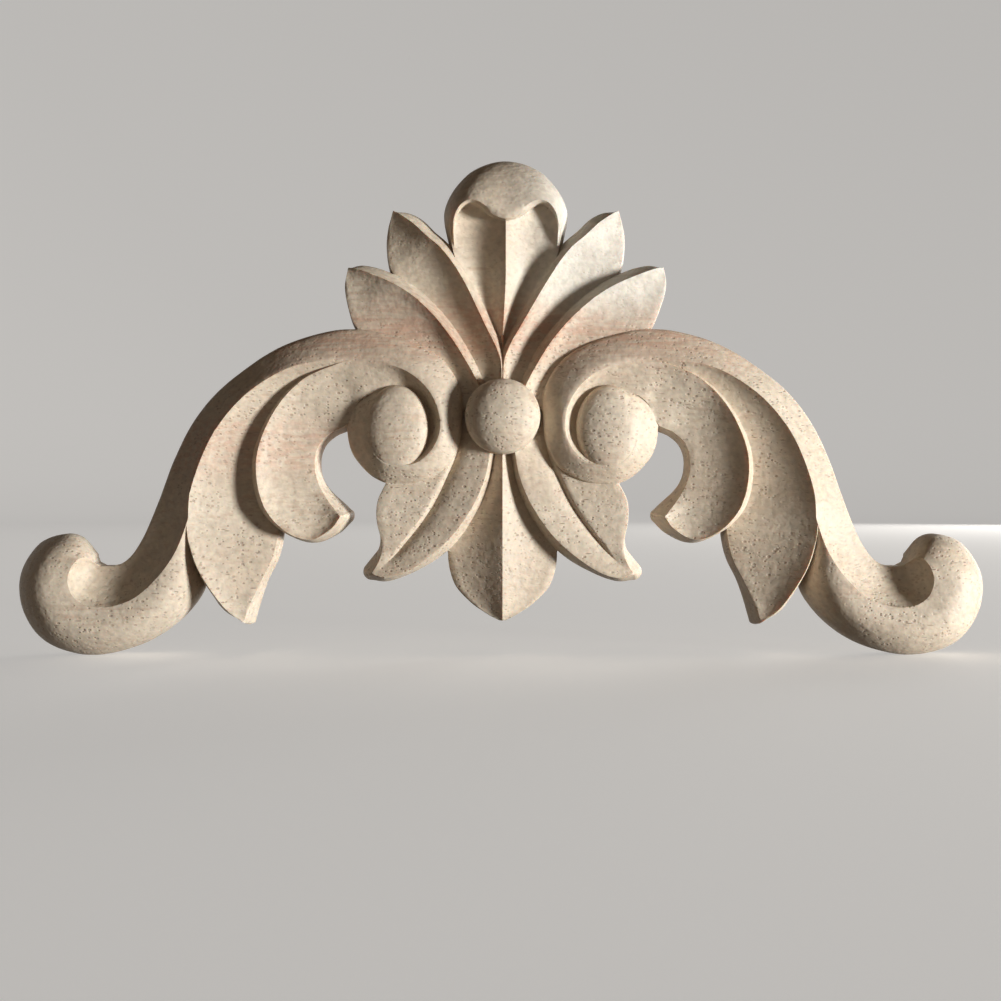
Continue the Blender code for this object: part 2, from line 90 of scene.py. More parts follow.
# Fineness of the mesh
STEPS = 8
ACROSS = 12
ROLL_EXTRA = 4
WALL_CELLS = 4
SIDE_CELLS = 3
ROUND_SEGMENTS = 80
ROUND_RINGS = 40

# Panels of a strip are (bow, skew, cells). These stand for a flat one, and for a steep wall.
NO_BOW = 0.0
NO_SKEW = 1.0
WALL_PANEL = (NO_BOW, NO_SKEW, WALL_CELLS)

# How far the bodies reach behind the back before it is planed flat, and the plane's blank
OVERRUN = 1.0
OVERRUN_STEP = 0.1
BLANK_WIDTH = 140.0
BLANK_HEIGHT = 90.0
BLANK_THICKNESS = 20.0
MERGE_DISTANCE = 0.00001

# How far the fullest part of a profile is moved off its middle
LEAF_SKEW = 0.7
STEM_SKEW = 0.8
ROLL_SKEW = 1.3
DOME_SKEW = 0.7
VEIN_SKEW = 1.8

# The steep wall under a leaf's lower edge: distance and height
EDGE_WALL = (0.3, 1.0)

# The steep wall that a strip has under a crest it shares, and how it closes up at the end
BURIED_WALL = (0.4, 2.8)
BURIED_WALL_END = [(0.2, 2.6), (0.1, 2.4), (0.05, 2.2)]

# Where the carving isn't quite even: the fan leans over and the left scroll reaches further.
# Each is a shift in x that grows between two distances from the ball.
FAN_LEAN = 0.4
FAN_LEAN_SPAN = (8.0, 18.0)
LEFT_REACH = -0.4
LEFT_REACH_SPAN = (34.0, 46.0)

# How much further the foot of a wall reaches ahead of a pointed tip than beside it
TIP_REACH = 1.1

# The line of crests: out of the coil round the eye, round the volute, over the arch and down
COIL = [
    (13.9, 3.2, 5.6), (15.2, 1.9, 6.2), (16.0, 0.3, 6.25), (16.3, -1.5, 6.2), (16.1, -3.3, 6.15),
    (15.3, -4.8, 6.15), (14.1, -5.7, 6.2),
]
CREST = [
    (12.6, -6.0, 6.2), (10.4, -5.6, 6.2), (8.6, -4.1, 6.4), (7.6, -1.8, 6.6), (7.8, 0.8, 6.8),
    (9.1, 3.3, 6.9), (11.4, 5.3, 6.9), (14.6, 6.4, 6.6), (18.3, 6.7, 6.4),
]
RIDGE = [
    (21.9, 6.6, 6.5), (25.5, 5.9, 6.6), (29.0, 4.1, 6.6), (32.1, 1.6, 6.6), (34.8, -1.8, 6.5),
    (36.6, -5.5, 6.4), (37.8, -9.4, 6.3), (38.2, -13.1, 6.1),
]
LIP = [
    (39.6, -16.7, 6.0), (41.8, -19.8, 5.9), (44.4, -22.1, 5.9), (47.2, -23.1, 5.9),
    (49.8, -23.0, 6.0), (51.6, -21.9, 6.0), (52.3, -20.0, 6.0), (52.0, -18.5, 5.8),
    (51.5, -17.6, 5.4), (51.0, -17.2, 4.8), (50.6, -17.2, 4.0), (50.3, -17.5, 3.0),
]

# The stem: its outer edge, paired with the line of crests
COIL_EDGE = [
    (15.4, 4.3, 4.4), (17.5, 2.9, 4.1), (18.8, 0.8, 3.9), (19.1, -1.6, 3.8), (18.6, -4.2, 3.8),
    (17.2, -6.2, 3.9), (15.5, -7.6, 4.0),
]
STEM_EDGE = [
    (13.7, -8.1, 4.2), (10.1, -7.9, 4.4), (7.0, -6.2, 4.6), (5.4, -3.4, 4.8), (4.9, 0.6, 5.0),
    (5.3, 3.9, 5.2), (7.7, 7.3, 5.2), (12.3, 9.6, 4.9), (18.1, 10.8, 4.5),
    (22.9, 10.2, 4.3), (27.6, 8.5, 4.1), (31.8, 5.8, 4.0), (35.3, 2.9, 3.9), (38.1, -0.8, 3.8),
    (40.2, -5.2, 3.7), (41.8, -9.5, 3.5), (43.7, -14.1, 3.2),
    (44.9, -16.2, 3.0), (45.9, -17.4, 2.9), (46.8, -18.0, 2.8), (47.5, -18.2, 2.8),
    (48.1, -18.3, 2.8), (48.6, -18.3, 2.8), (49.0, -18.3, 2.8), (49.3, -18.3, 2.8),
    (49.5, -18.2, 2.8), (49.7, -18.1, 2.8), (49.9, -18.0, 2.8), (50.1, -17.9, 2.8),
]
COIL_BOW = [0.0, 0.0, 0.0, 0.0, 0.0, 0.1, 0.1]
STEM_BOW = [
    0.1, 0.2, 0.2, 0.2, 0.2, 0.2, 0.3, 0.3, 0.3,
    0.2, 0.1, 0.0, -0.1, -0.1, -0.2, -0.3, -0.4,
    -0.6, -0.8, -0.9, -1.0, -1.1, -1.2, -1.2, -1.1, -0.8, -0.4, -0.1, 0.0,
]

# The channel round the eye, which opens out into the inner leaf
INNER_RIM = [
    (20.7, 6.1, 6.3), (23.8, 4.7, 6.2), (26.4, 2.4, 6.2), (28.5, -0.9, 6.2), (29.8, -4.7, 6.1),
    (29.7, -8.6, 6.0), (28.5, -11.8, 5.9), (26.1, -14.2, 5.6), (23.4, -15.0, 5.2),
    (21.0, -13.7, 4.9), (19.75, -12.15, 4.7),
]
INNER_EDGE = [
    (12.9, -5.0, 5.6), (11.7, -4.4, 5.4), (10.4, -3.3, 4.8), (9.6, -1.3, 4.3), (9.9, 0.9, 4.3),
    (11.0, 2.4, 4.6), (12.6, 3.1, 5.0), (14.9, 3.0, 5.2), (16.8, 2.4, 5.1),
    (18.1, 1.1, 4.4), (19.1, -0.9, 4.0), (20.9, -1.8, 3.7), (22.3, -3.0, 3.6), (23.0, -4.7, 3.5),
    (23.0, -6.6, 3.5), (22.6, -8.1, 3.5), (22.0, -9.3, 3.6), (21.3, -10.4, 3.9),
    (20.5, -11.4, 4.3), (19.75, -12.15, 4.7),
]
INNER_WALL = [
    (0.4, 3.0), (0.4, 3.0), (0.4, 3.0), (0.4, 3.0), (0.4, 3.0), (0.4, 3.0), (0.4, 3.0),
    (0.4, 3.0), (0.4, 3.0),
    (0.6, 3.0), (1.0, 2.6), (1.3, 2.3), (1.5, 2.2), (1.6, 2.1), (1.5, 2.0), (1.1, 2.0),
    (0.5, 2.0), (0.5, 1.8), (0.8, 1.4), (1.1, 1.0),
]
INNER_EDGE_WALL = [(0.3, 1.0)] * 15 + [(0.4, 1.0), (0.6, 1.0), (0.9, 1.0), (1.1, 1.0), (1.1, 1.0)]
INNER_BOW = [
    -0.1, -0.3, -0.5, -0.6, -0.6, -0.6, -0.5, -0.3, -0.2,
    -0.3, -0.4, -0.6, -0.7, -0.7, -0.7, -0.7, -0.6, -0.5, -0.3, 0.0,
]

# The outer leaf: its rim leaves the ridge, and its inner edge comes out from under the inner leaf
OUTER_RIM = [
    (37.9, -15.6, 6.0), (37.0, -18.4, 5.9), (35.5, -21.1, 5.6), (33.7, -23.5, 5.2),
    (31.6, -25.2, 4.6),
]
OUTER_EDGE = [
    (18.6, 5.9, 5.6), (21.1, 5.4, 5.4), (24.0, 4.1, 5.0), (26.4, 2.0, 4.7), (28.3, -1.2, 4.3),
    (29.4, -4.9, 3.9), (29.3, -8.4, 3.3), (28.4, -11.1, 2.7), (27.7, -13.6, 2.8),
    (27.9, -15.7, 2.9), (28.5, -17.7, 3.0), (29.6, -19.9, 3.3), (30.7, -22.4, 3.9),
    (31.6, -25.2, 4.6),
]
OUTER_WALL = [(0.8, 2.5)] * 13 + [(0.3, 1.2)]
OUTER_EDGE_WALL = [(0.3, 1.0)] * 12 + [(0.5, 1.0), (0.6, 1.0)]
OUTER_BOW = [
    0.0, 0.0, -0.2, -0.4, -0.5, -0.6, -0.6, -0.6, -0.6, -0.6, -0.6, -0.5, -0.3, 0.0,
]

# The roll below the stem, paired with the lip, and the bulb it ends in
ROLL_EDGE = [
    (37.7, -17.1, 1.5), (37.1, -20.7, 1.5), (39.3, -24.3, 2.6), (42.8, -27.2, 2.6),
    (46.9, -28.9, 2.6), (51.5, -29.3, 2.6), (56.2, -27.7, 2.6), (59.1, -24.1, 2.2),
    (59.6, -19.6, 2.0), (57.6, -15.8, 1.5), (54.6, -14.4, 1.5), (52.3, -14.8, 1.5),
    (50.4, -16.9, 1.5),
]
ROLL_BOW = [
    0.6, 1.0, 1.3, 1.5, 1.6, 1.7, 1.8, 1.9, 1.9, 1.7, 1.4, 1.0, 0.3,
]

# The petals of the fan, from root to tip
UPPER_PETAL_RIM = [
    (0.1, 3.8, 5.6), (0.2, 6.6, 5.6), (0.9, 8.7, 5.7), (2.3, 11.3, 5.8), (3.4, 13.4, 5.9),
    (4.8, 16.0, 5.9), (6.4, 18.6, 5.9), (8.0, 20.6, 5.8), (9.6, 22.0, 5.6), (11.2, 23.5, 5.3),
    (12.7, 24.6, 4.9), (13.8, 25.3, 4.4),
]
UPPER_PETAL_EDGE = [
    (1.7, 0.9, 4.3), (2.2, 2.7, 4.3), (2.9, 4.5, 4.3), (4.2, 7.0, 3.8), (5.6, 9.3, 3.7),
    (7.6, 12.2, 3.7), (9.8, 14.6, 3.6), (11.9, 16.4, 3.5), (13.9, 17.8, 3.4), (14.5, 20.3, 3.3),
    (14.5, 23.0, 3.3), (13.8, 25.3, 4.4),
]
LOWER_PETAL_RIM = [
    (2.4, 2.9, 5.9), (3.4, 4.9, 6.0), (4.6, 7.0, 6.1), (6.0, 9.2, 6.2), (7.9, 11.6, 6.2),
    (9.8, 13.5, 6.2), (11.8, 15.1, 6.1), (13.9, 16.3, 6.0), (16.0, 17.2, 5.7), (18.1, 18.0, 5.2),
    (19.3, 18.3, 4.5),
]
LOWER_PETAL_EDGE = [
    (5.1, 0.6, 4.5), (5.6, 2.7, 4.5), (6.6, 4.8, 4.5), (8.3, 6.6, 4.7), (10.5, 8.0, 4.7),
    (13.2, 8.8, 4.6), (15.9, 9.7, 4.5), (18.1, 11.1, 4.4), (19.2, 13.8, 4.3), (19.7, 16.1, 4.2),
    (19.3, 18.3, 4.5),
]
PETAL_WALL = [(1.3, 3.3)] * 10 + [(0.9, 3.0), (0.3, 1.6)]
PETAL_BOW = -0.6
PETAL_BOW_END = [-0.3, 0.0]

# The shell at the top: two flutes either side of an arris, under a domed lip
ARRIS = [
    (0.0, 27.0, 6.0), (0.0, 23.2, 6.2), (0.0, 19.3, 5.9), (0.0, 15.4, 5.5), (0.0, 11.8, 5.1),
    (0.0, 8.8, 4.7), (0.0, 6.0, 4.4),
]
FLUTE_EDGE = [
    (6.1, 27.0, 4.6), (6.8, 23.5, 5.0), (6.3, 19.7, 4.6), (4.4, 16.3, 4.4), (2.4, 12.4, 4.3),
    (1.0, 9.2, 4.2), (0.4, 6.0, 4.2),
]
FLUTE_BOW = [-0.4, -1.2, -1.3, -1.1, -0.8, -0.4, -0.1]
DOME_EDGE = [
    (0.0, 32.1, 1.6), (2.3, 31.7, 1.6), (4.5, 30.6, 1.6), (6.3, 28.7, 1.6), (7.4, 26.7, 1.6),
    (7.7, 24.6, 1.6), (6.8, 20.6, 2.6),
]
DOME_LIP = [
    (0.0, 23.7, 7.0), (1.7, 24.3, 7.0), (3.3, 25.5, 6.9), (4.5, 25.8, 6.7), (5.6, 25.1, 6.4),
    (6.3, 23.4, 5.8), (6.3, 20.6, 4.5),
]
DOME_BOW = [1.9, 1.9, 1.7, 1.5, 1.2, 0.8, 0.2]

# The side leaf below the volute: crest, vein and outer edge, from root to tip
SIDE_CREST = [
    (0.6, 2.0, 4.4), (0.9, -1.0, 4.8), (1.5, -4.3, 4.8), (2.1, -7.3, 4.8), (3.2, -10.1, 4.8),
    (4.7, -12.6, 4.8),
    (6.5, -14.9, 4.7), (9.0, -17.1, 4.6), (11.9, -19.0, 4.5), (14.3, -19.7, 4.3),
    (16.1, -19.2, 4.1),
]
SIDE_VEIN = [
    (5.0, 1.5, 3.5), (5.2, -2.8, 3.5), (6.0, -5.5, 3.5), (7.0, -7.7, 3.5), (8.1, -10.0, 3.5),
    (9.5, -12.3, 3.5),
    (11.0, -14.3, 3.5), (12.4, -16.0, 3.6), (13.8, -17.5, 3.9), (15.0, -18.5, 4.1),
    (16.1, -19.2, 4.1),
]
SIDE_EDGE = [
    (11.0, 1.0, 4.2), (11.9, -2.8, 4.2), (13.4, -5.5, 4.2), (14.3, -8.1, 4.2), (15.3, -10.3, 4.2),
    (15.4, -12.6, 4.2), (15.0, -14.6, 4.2), (14.9, -16.2, 4.2), (15.2, -17.5, 4.2),
    (15.6, -18.4, 4.1), (16.1, -19.2, 4.1),
]
VEIN_WALL = [(0.4, 4.1)] * 7 + [(0.35, 4.1), (0.1, 3.95), (0.1, 4.1), (0.0, 4.1)]
VEIN_BOW = [0.3] * 8 + [0.1, 0.0, 0.0]
SIDE_WALL = [(0.9, 2.2)] * 7 + [(0.8, 2.0), (0.5, 1.8), (0.6, 1.5), (1.0, 1.0)]
SIDE_EDGE_WALL = [(0.3, 1.0)] * 7 + [(0.6, 1.0), (1.1, 1.0), (1.3, 1.0), (1.4, 1.0)]

# The tail leaf in the middle below, from root to tip
TAIL_MIDRIB = [
    (0.0, -2.8, 4.3), (0.0, -6.4, 4.5), (0.0, -10.1, 4.6), (0.0, -13.2, 4.6), (0.0, -15.7, 4.6),
    (0.0, -17.8, 4.5), (0.0, -20.0, 4.3), (0.0, -21.8, 4.0), (0.0, -23.3, 3.5), (0.0, -24.4, 3.0),
    (0.0, -25.1, 2.4),
]
TAIL_EDGE = [
    (3.0, -2.7, 2.2), (3.7, -6.4, 2.2), (4.7, -10.1, 2.2), (5.9, -13.2, 2.2), (6.7, -15.7, 2.2),
    (6.8, -17.5, 2.2), (6.4, -19.5, 2.2), (5.6, -21.2, 2.2), (3.8, -23.0, 2.2), (1.9, -24.3, 2.2),
    (0.4, -25.1, 2.2),
]
TAIL_BOW = [-0.4] * 8 + [-0.3, -0.2, -0.1]


def smooth(points, before=None, after=None):
    """Samples of one smooth curve through the points, STEPS to each span.

    before and after are points of a curve that this one carries on from or into.
    """
    knots = [Vector(point) for point in points]
    first = Vector(before) if before else knots[0] * 2 - knots[1]
    last = Vector(after) if after else knots[-1] * 2 - knots[-2]
    padded = [first, *knots, last]
    samples = []
    for a, b, c, d in zip(padded, padded[1:], padded[2:], padded[3:]):
        for step in range(STEPS):
            t = step / STEPS
            pull = (c - a) * t + (a * 2 - b * 5 + c * 4 - d) * t ** 2
            samples.append(b + (pull + (b * 3 - a - c * 3 + d) * t ** 3) * 0.5)
    samples.append(knots[-1])
    return samples


def along(values, spans):
    """A value, or a tuple of values, for each sample of a rail with that many spans."""
    if not isinstance(values, list):
        values = [values] * (spans + 1)
    rows = [value if isinstance(value, tuple) else (value, 0.0) for value in values]
    return smooth([(first, second, 0.0) for first, second in rows])


def beside(rail, partner, wall):
    """The foot of a wall that falls away from a rail, on the side away from its partner.

    wall gives the foot's distance from the rail and its height.
    """
    last = len(rail) - 1
    across = []
    for index in range(len(rail)):
        ahead = rail[min(index + 1, last)].xy - rail[max(index - 1, 0)].xy
        across.append(Vector((-ahead.y, ahead.x)).normalized())
    inward = sum(way.dot((end - start).xy) for way, start, end in zip(across, rail, partner))
    side = -1 if inward > 0 else 1
    return [Vector((*(start.xy + way * side * sample.x), sample.y))
            for start, way, sample in zip(rail, across, along(wall, last // STEPS))]


def walls(left, right, left_wall, right_wall):
    """The feet of both walls of a strip that ends in a point.

    Round the tip the feet go on for one more span, from beside it to straight ahead of it, and
    both rails get as many more samples, all at the tip.
    """
    feet = beside(left, right, left_wall), beside(right, left, right_wall)
    tip = left[-1]
    forward = (tip * 2 - left[-2] - right[-2]).xy
    reach = TIP_REACH * sum((foot[-1] - tip).xy.length for foot in feet) / len(feet)
    for foot in feet:
        start = (foot[-1] - tip).xy
        height = foot[-1].z
        heading = math.atan2(start.y, start.x)
        turn = math.atan2(start.x * forward.y - start.y * forward.x, start.dot(forward))
        for step in range(1, STEPS + 1):
            t = step / STEPS
            arm = start.length + (reach - start.length) * t
            foot.append(Vector((tip.x + arm * math.cos(heading + turn * t),
                                tip.y + arm * math.sin(heading + turn * t), height)))
    for rail in (left, right):
        rail.extend([tip] * STEPS)
    return feet


def buried_wall(rail):
    """A steep wall inside the neighbouring strip, which closes up towards the notch."""
    stations = (len(rail) - 1) // STEPS + 1
    return [BURIED_WALL] * (stations - len(BURIED_WALL_END)) + BURIED_WALL_END


def mirrored(points):
    """The same points on the other side of the middle."""
    return [(-x, z, height) for x, z, height in points]


def ramp(value, span):
    """0 below the span and 1 above it, with a smooth rise between."""
    t = min(max((value - span[0]) / (span[1] - span[0]), 0.0), 1.0)
    return t * t * (3 - 2 * t)


def place(x, z, height):
    """A point of the carving in the part's own frame, in metres."""
    x += FAN_LEAN * ramp(z, FAN_LEAN_SPAN) + LEFT_REACH * ramp(-x, LEFT_REACH_SPAN)
    return Vector((x * MM, -height * MM, z * MM))


def arch(s, skew):
    """A curve that is 0 at both ends and 1 at its top, which skew moves off the middle."""
    return 4 * s ** skew * (1 - s ** skew)


def new_object(name, mesh_maker, collection):
    """An object with a mesh of its own, filled by mesh_maker and with its faces pointing out."""
    bm = bmesh.new()
    mesh_maker(bm)
    bmesh.ops.remove_doubles(bm, verts=bm.verts, dist=MERGE_DISTANCE)
    bmesh.ops.dissolve_degenerate(bm, edges=bm.edges, dist=MERGE_DISTANCE)
    bmesh.ops.triangulate(bm, faces=bm.faces)
    bmesh.ops.recalc_face_normals(bm, faces=bm.faces)
    mesh = bpy.data.meshes.new(name)
    bm.to_mesh(mesh)
    bm.free()
    result = bpy.data.objects.new(name, mesh)
    collection.objects.link(result)
    return result


def strip(name, rails, panels, collection, sides=(1, -1)):
    """A closed body between rails, on each side of the middle.

    Each panel is (bow, skew, cells) from one rail to the next.
    """
    floor = -OVERRUN - OVERRUN_STEP * len(collection.objects)
    spans = (len(rails[0]) - 1) // STEPS
    bows = [along(bow, spans) for bow, skew, cells in panels]

    def ring(station):
        points = []
        for panel, (bow, skew, cells) in enumerate(panels):
            start = rails[panel][station]
            end = rails[panel + 1][station]
            for cell in range(cells):
                s = cell / cells
                lift = bows[panel][station].x * arch(s, skew)
                points.append(start.lerp(end, s) + Vector((0, 0, lift)))
        for rail, order in ((rails[-1], 1), (rails[0], -1)):
            top = rail[station]
            drop = [Vector((*top.xy, top.z + (floor - top.z) * cell / SIDE_CELLS))
                    for cell in range(SIDE_CELLS + 1)]
            points.extend(drop if order > 0 else drop[:0:-1])
        return points

    for side in sides:
        def fill(bm):
            rings = [[bm.verts.new(place(side * x, z, height)) for x, z, height in ring(station)]
                     for station in range(len(rails[0]))]
            for near, far in zip(rings, rings[1:]):
                for index in range(len(near)):
                    bm.faces.new((near[index - 1], near[index], far[index], far[index - 1]))
            bm.faces.new(rings[0])
            bm.faces.new(rings[-1])

        new_object(f"{name}_{'right' if side > 0 else 'left'}", fill, collection)


def boss(name, centre, half_size, drum, top, flatness, collection):
    """A rounded top on an upright drum. A flatness of 1 makes it an ellipsoid's top."""
    def fill(bm):
        made = bmesh.ops.create_uvsphere(bm, u_segments=ROUND_SEGMENTS, v_segments=ROUND_RINGS,
                                         radius=1.0)
        for vert in made["verts"]:
            x, z, rise = vert.co
            height = drum + (top - drum) * max(rise, 0.0) ** flatness
            radius = math.hypot(x, z)
            if rise < -MERGE_DISTANCE:
                height = -OVERRUN
                if radius > MERGE_DISTANCE:
                    x /= radius
                    z /= radius
            vert.co = place(centre[0] + x * half_size[0], centre[1] + z * half_size[1], height)
    return new_object(name, fill, collection)


def leaf(name, rim, edge, rim_wall, edge_wall, bow, collection):
    """A scooped leaf or petal, from root to tip: steep under its rim and flatter at its edge."""
    rim_foot, edge_foot = walls(rim, edge, rim_wall, edge_wall)
    strip(name, [rim_foot, rim, edge, edge_foot],
          [WALL_PANEL, (bow + [NO_BOW], LEAF_SKEW, ACROSS), WALL_PANEL], collection)


def carve_scroll(collection):
    """The stem, the channel and inner leaf, the outer leaf and the roll, on shared crests."""
    line = smooth(COIL + CREST + RIDGE + LIP)
    groove_end = len(COIL) * STEPS
    fork = groove_end + (len(CREST) - 1) * STEPS
    second_fork = fork + len(RIDGE) * STEPS
    crest = line[groove_end:fork + 1]
    ridge = line[fork:second_fork + 1]
    lip = line[second_fork:]

    edge = smooth(COIL_EDGE + STEM_EDGE)
    strip("stem", [beside(line, edge, buried_wall(line)), line, edge],
          [WALL_PANEL, (COIL_BOW + STEM_BOW, STEM_SKEW, ACROSS)], collection)

    rim = crest + smooth([CREST[-1]] + INNER_RIM, before=CREST[-2])[1:]
    leaf("inner_leaf", rim, smooth(INNER_EDGE), INNER_WALL, INNER_EDGE_WALL, INNER_BOW, collection)
    rim = ridge + smooth([RIDGE[-1]] + OUTER_RIM, before=RIDGE[-2])[1:]
    leaf("outer_leaf", rim, smooth(OUTER_EDGE), OUTER_WALL, OUTER_EDGE_WALL, OUTER_BOW, collection)

    edge = smooth(ROLL_EDGE)
    strip("roll", [beside(lip, edge, buried_wall(lip)), lip, edge],
          [WALL_PANEL, (ROLL_BOW, ROLL_SKEW, ACROSS + ROLL_EXTRA)], collection)


def carve_fan(collection):
    """The shell at the top and the two petals beside it."""
    arris = smooth(ARRIS)
    flute = smooth(FLUTE_EDGE)
    far_flute = smooth(mirrored(FLUTE_EDGE))
    strip("shell_flutes", [far_flute, arris, flute],
          [(FLUTE_BOW, NO_SKEW, ACROSS)] * 2, collection, sides=(1,))

    edge = smooth(mirrored(DOME_EDGE[:0:-1]) + DOME_EDGE)
    lip = smooth(mirrored(DOME_LIP[:0:-1]) + DOME_LIP)
    strip("shell_dome", [edge, lip], [(DOME_BOW[:0:-1] + DOME_BOW, DOME_SKEW, ACROSS + 1)],
          collection, sides=(1,))

    for name, rim_points, edge_points in (
            ("upper_petal", UPPER_PETAL_RIM, UPPER_PETAL_EDGE),
            ("lower_petal", LOWER_PETAL_RIM, LOWER_PETAL_EDGE)):
        bow = [PETAL_BOW] * (len(rim_points) - len(PETAL_BOW_END)) + PETAL_BOW_END
        wall = PETAL_WALL[-len(rim_points):]
        leaf(name, smooth(rim_points), smooth(edge_points), wall, EDGE_WALL, bow, collection)


def carve_lower_leaves(collection):
    """The side leaf with its vein, and the tail leaf."""
    crest = smooth(SIDE_CREST)
    vein = smooth(SIDE_VEIN)
    edge = smooth(SIDE_EDGE)
    step = beside(vein, crest, VEIN_WALL)
    step[-1] = vein[-1]
    crest_foot, edge_foot = walls(crest, edge, SIDE_WALL, SIDE_EDGE_WALL)
    for rail in (vein, step):
        rail.extend([crest[-1]] * STEPS)
    strip("side_leaf", [crest_foot, crest, vein, step, edge, edge_foot],
          [WALL_PANEL, (VEIN_BOW + [NO_BOW], VEIN_SKEW, ACROSS), WALL_PANEL,
           (NO_BOW, NO_SKEW, ACROSS), WALL_PANEL],
          collection)

    midrib = smooth(TAIL_MIDRIB)
    edge = smooth(TAIL_EDGE)
    strip("tail_leaf", [smooth(mirrored(TAIL_EDGE)), midrib, edge],
          [(TAIL_BOW, NO_SKEW, ACROSS)] * 2, collection, sides=(1,))


def blank(collection):
    """The board the carving is cut from, whose back face planes the back flat."""
    def fill(bm):
        made = bmesh.ops.create_cube(bm, size=1.0)
        for vert in made["verts"]:
            vert.co.x *= BLANK_WIDTH * MM
            vert.co.y = (vert.co.y - 0.5) * BLANK_THICKNESS * MM
            vert.co.z *= BLANK_HEIGHT * MM
    return new_object("blank", fill, collection)


def boolean(target, operation, cutter):
    """A Boolean on the target. Every body here is closed, and many share an edge."""
    modifier = target.modifiers.new(cutter.name, "BOOLEAN")
    modifier.operation = operation
    modifier.solver = "MANIFOLD"
    modifier.object = cutter


def union_mesh():
    """The whole carving as one triangle mesh, with its back planed flat."""
    holder = bpy.data.collections.new("carving")
    bpy.context.scene.collection.children.link(holder)
    ornaments = bpy.data.collections.new("ornaments")
    cutters = bpy.data.collections.new("cutters")
    for collection in (ornaments, cutters):
        bpy.context.scene.collection.children.link(collection)
    onlay = boss("union", (0.0, 0.0), (BALL_RADIUS, BALL_RADIUS), BALL_DRUM, BALL_TOP,
                 BALL_FLATNESS, holder)
    for name, side in (("eye_right", 1), ("eye_left", -1)):
        boss(name, (side * EYE_CENTRE[0], EYE_CENTRE[1]), EYE_HALF_SIZE, EYE_DRUM, EYE_TOP,
             EYE_FLATNESS, ornaments)
    carve_scroll(ornaments)
    carve_fan(ornaments)
    carve_lower_leaves(ornaments)
    for ornament in ornaments.objects:
        boolean(onlay, "UNION", ornament)
    boolean(onlay, "INTERSECT", blank(cutters))
    view = bpy.context.evaluated_depsgraph_get()
    mesh = bpy.data.meshes.new_from_object(onlay.evaluated_get(view))
    for collection in (holder, ornaments, cutters):
        for helper in list(collection.objects):
            bpy.data.objects.remove(helper)
        bpy.data.collections.remove(collection)
    return mesh


# How the crests are eased: rounds of smoothing, its strength on convex and on hollow places
EASE_ROUNDS = 2
EASE_CONVEX = 0.2
EASE_HOLLOW = 0.08

# Points nearer to the back than this, in metres, belong to it and stay
BACK_MARGIN = 0.00002

# The unevenness of a surface that was finished by hand: wavelength and height in mm
UNEVEN = ((5.0, 0.05), (1.6, 0.02))

# Edges that turn by more than this, in degrees, are shaded sharp
SHARP_ANGLE = 42.0


def tidy(mesh):
    """Join the doubled points that the union leaves, and cut every face into triangles.

    Flaps are taken out: two triangles that fold onto the same three points.
    """
    bm = bmesh.new()
    bm.from_mesh(mesh)
    bmesh.ops.remove_doubles(bm, verts=bm.verts, dist=MERGE_DISTANCE)
    bmesh.ops.dissolve_degenerate(bm, edges=bm.edges, dist=MERGE_DISTANCE)
    bmesh.ops.triangulate(bm, faces=bm.faces)
    corners = {}
    for face in bm.faces:
        corners.setdefault(frozenset(face.verts), []).append(face)
    flaps = [face for pair in corners.values() if len(pair) > 1 for face in pair]
    bmesh.ops.delete(bm, geom=flaps, context="FACES")
    bm.to_mesh(mesh)
    bm.free()


def ease(mesh):
    """Round the crests a little and the hollows less, and leave all but the back uneven."""
    count = len(mesh.vertices)
    points = np.zeros(count * 3)
    mesh.vertices.foreach_get("co", points)
    points = points.reshape(-1, 3)
    ends = np.zeros(len(mesh.edges) * 2, int)
    mesh.edges.foreach_get("vertices", ends)
    first, second = ends.reshape(-1, 2).T
    valence = np.bincount(ends, minlength=count).reshape(-1, 1)
    normals = np.zeros(count * 3)
    mesh.vertices.foreach_get("normal", normals)
    normals = normals.reshape(-1, 3)
    free = points[:, 1] < -BACK_MARGIN
    for _ in range(EASE_ROUNDS):
        middle = np.zeros_like(points)
        np.add.at(middle, first, points[second])
        np.add.at(middle, second, points[first])
        move = middle / valence - points
        convex = (move * normals).sum(1) < 0
        strength = np.where(convex, EASE_CONVEX, EASE_HOLLOW) * free
        points += move * strength[:, None]
    for length, height in UNEVEN:
        for index in np.nonzero(free)[0]:
            lift = noise.noise(Vector(points[index]) / (length * MM))
            points[index] += normals[index] * lift * height * MM
    points = np.clip(points, np.array(cad_low), np.array(cad_high))
    mesh.vertices.foreach_set("co", points.ravel())
    mesh.update()


def carved_piece():
    """The onlay as it shows."""
    mesh = union_mesh()
    mesh.name = "onlay"
    tidy(mesh)
    ease(mesh)
    for face in mesh.polygons:
        face.use_smooth = True
    mesh.set_sharp_from_angle(angle=math.radians(SHARP_ANGLE))
    piece = bpy.data.objects.new("onlay", mesh)
    bpy.context.scene.collection.objects.link(piece)
    return piece


# Colours of the wood
PALE = (0.66, 0.57, 0.45, 1.0)
MID = (0.58, 0.475, 0.36, 1.0)
STREAK = (0.46, 0.31, 0.21, 1.0)
ROSY = (0.50, 0.27, 0.175, 1.0)
# A painted highlight: the paler colour put on the rims
PAINTED_RIM_HIGHLIGHT = (0.72, 0.64, 0.52, 1.0)
PORE = (0.21, 0.11, 0.065, 1.0)
# Painted shade: the warm dark colour put in the crevices
PAINTED_CREVICE_SHADE = (0.30, 0.18, 0.105, 1.0)
# A painted sheen: the paler, cooler colour put in the upper right, where the key light glances off
PAINTED_SHEEN = (0.64, 0.625, 0.575, 1.0)

